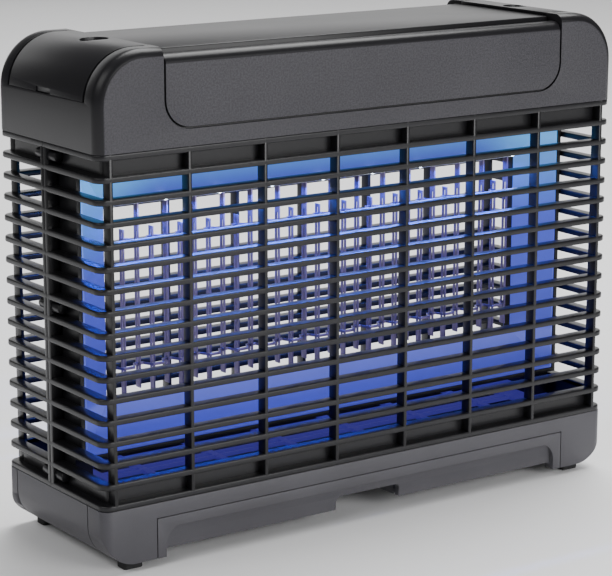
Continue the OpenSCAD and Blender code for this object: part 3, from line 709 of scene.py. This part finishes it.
worked(housing, "DIFFERENCE", round_bar("gland_way", (GLAND_X, 30, GLAND_Z), (0, 1, 0), GLAND_WAY_R, 60, 32, 0.01))
placed(painted(eased(housing, 0.35), housing_finish), "main", "housing_plastic", "top_housing")

# Fine grooves run round each end of the base, in line with the end panels above.
BASE_LOW, BASE_R, BASE_GROOVES, BASE_GROOVE_W, BASE_GROOVE_D = 5.0, 22.0, (-40.5, 47.5), 0.9, 0.7


def basin_outline(inset):
    """The base's front view, which is the arch turned upside down."""
    return [(x, BASE_LOW + CAGE_LOW - z) for x, z in arch_outline(HALF_W, 0.0 - inset, CAGE_LOW, BASE_R, inset)]


for y in BASE_GROOVES:
    groove = prism_y("groove", [(-230, -20), (230, -20), (230, 60), (-230, 60)], y - BASE_GROOVE_W / 2,
                     y + BASE_GROOVE_W / 2)
    kept = [(x, z + (20 if z > CAGE_LOW - 1 else 0)) for x, z in basin_outline(BASE_GROOVE_D)]
    worked(groove, "DIFFERENCE", prism_y("inner", kept, -FAR, FAR))
    worked(groove, "DIFFERENCE", prism_z("middle", [(-171, -FAR), (171, -FAR), (171, FAR), (-171, FAR)], -40, 80))
    worked(base, "DIFFERENCE", groove)
placed(smooth(painted(base, base_finish)), "main", "base_plastic", "base_housing")

# ---- Centre cover ----
# One moulding that saddles the housing: a flat raised top, a groove along each
# side of it, and an apron with round lower corners that hangs flush in the front
# and in the rear face.
SADDLE, GROOVE_W, GROOVE_D, APRON_INSET = 46.5, 4.0, 1.3, 0.5
shoulder = HOUSING_TOP - SHOULDER_DROP
saddle_top = HOUSING_TOP - COVER_DROP
half_section = [(SADDLE - 0.8, saddle_top), (SADDLE - 0.25, saddle_top - 0.2), (SADDLE, saddle_top - 0.8),
                (SADDLE, shoulder - GROOVE_D), (SADDLE + GROOVE_W, shoulder - GROOVE_D),
                (SADDLE + GROOVE_W, shoulder - 0.3), (SADDLE + GROOVE_W + 0.3, shoulder)]
half_section += [(HALF_D - FILLET + FILLET * math.sin(a), shoulder - FILLET + FILLET * math.cos(a))
                 for a in (math.pi / 2 * s / 10 for s in range(11))]
outer = half_section + [(HALF_D, CAGE_TOP)]
section = [(-y, z) for y, z in reversed(outer)] + outer
cover = prism_x("cover", section, -151, 151)
worked(cover, "INTERSECT", prism_y("apron", apron_outline(-APRON_INSET), -80, 80))
worked(cover, "DIFFERENCE", prism_x("core", core_section, -170, 170))
placed(painted(eased(cover, 0.6, 3), housing_finish), "main", "housing_plastic", "centre_cover")

# ---- End panels and hanging rings ----
# A thin curved panel snaps over each end of the housing, with a pry slot at its
# lower edge and an oval well in its top. A ring of bright wire folds up out of
# the well to hang the appliance.
for x, which in ((-1, "left"), (1, "right")):
    panel = arch_prism("panel", 0, BESIDE, -PANEL_HALF_D, PANEL_HALF_D)
    worked(panel, "DIFFERENCE", arch_prism("inner", PANEL_T, WITHIN, -FAR, FAR))
    cup = prism_z("cup", oval(x * CUP_X, CUP_L + 3.6, CUP_W + 7.6), HOUSING_TOP - CUP_H - CUP_T, HOUSING_TOP + 1)
    worked(cup, "INTERSECT", arch_prism("outside", 0, WITHIN, -FAR, FAR))
    worked(panel, "UNION", cup)
    worked(panel, "INTERSECT", end_cutter(x, 150.8, PANEL_LOW))
    worked(panel, "DIFFERENCE", prism_z("well", oval(x * CUP_X, CUP_L, CUP_W), HOUSING_TOP - CUP_H, 330))
    near, far = sorted((x * 194.8, x * 200.0))
    worked(panel, "DIFFERENCE", eased_block("pry_slot", (near, -6, PANEL_LOW - 2), (far, 11, PANEL_LOW + 3), 0.2))
    panel.name = which + "_panel"
    placed(painted(eased(panel, 0.5, 3), housing_finish), "main", "housing_plastic", which + "_end_panel")

ring_finish, surface, place = finish_of("ring_wire", Metallic=1.0, IOR=1.5)
drawn = grained(surface, place, 700, 0.08)
join_to(surface, "Base Color", drawn.blend((0.45, 0.45, 0.46), (0.62, 0.62, 0.63)))
join_to(surface, "Roughness", drawn * 0.15 + 0.2)
for which in ("left", "right"):
    ring = frame["nodes"][which + "_hanging_ring"]
    ring.data.materials.clear()
    ring.data.materials.append(ring_finish)

# ---- Gland, chassis, screws and electronics ----
# A black gland takes the supply lead in at the back. Inside the housing a zinc
# plate carries the board and its parts. They are hidden from outside, so they
# keep their first shapes and take a fitting finish each.
black_finish = moulding("black_plastic", (0.012, 0.012, 0.013), (0.02, 0.02, 0.021), 0.4, 700, 0.3)
placed(eased_copy("cable_gland", "gland", 0.3, black_finish), "main", "black_plastic", "cable_gland")
steel_finish, surface, place = finish_of("screw_steel", Metallic=1.0)
turned = grained(surface, place, 900, 0.1)
join_to(surface, "Base Color", turned.blend((0.42, 0.42, 0.43), (0.55, 0.55, 0.56)))
join_to(surface, "Roughness", turned * 0.2 + 0.25)
inner_finishes = {
    "zinc_plate": steel_finish, "screw_steel": steel_finish, "black_plastic": black_finish,
    "circuit_board": moulding("circuit_board", (0.02, 0.11, 0.04), (0.03, 0.15, 0.06), 0.35, 300, 0.15),
    "winding": moulding("winding_tape", (0.5, 0.32, 0.04), (0.6, 0.4, 0.07), 0.4, 300, 0.2),
    "capacitor_film": moulding("capacitor_film", (0.02, 0.06, 0.26), (0.03, 0.09, 0.34), 0.3, 300, 0.1),
    "driver_case": moulding("driver_case", (0.68, 0.66, 0.6), (0.75, 0.73, 0.67), 0.5, 300, 0.2),
    "red_lead": moulding("red_lead", (0.45, 0.015, 0.012), (0.52, 0.03, 0.025), 0.45, 300, 0.1),
    "white_lead": moulding("white_lead", (0.72, 0.72, 0.74), (0.8, 0.8, 0.82), 0.45, 300, 0.1),
    "insulator": moulding("pale_insulator", (0.66, 0.63, 0.54), (0.74, 0.71, 0.62), 0.4, 300, 0.1),
}
for entry in frame["record"]["subparts"]:
    part = frame["nodes"][entry["node"]]
    if entry["material_slot"] in inner_finishes and not part.hide_render:
        part.data.materials.clear()
        part.data.materials.append(inner_finishes[entry["material_slot"]])
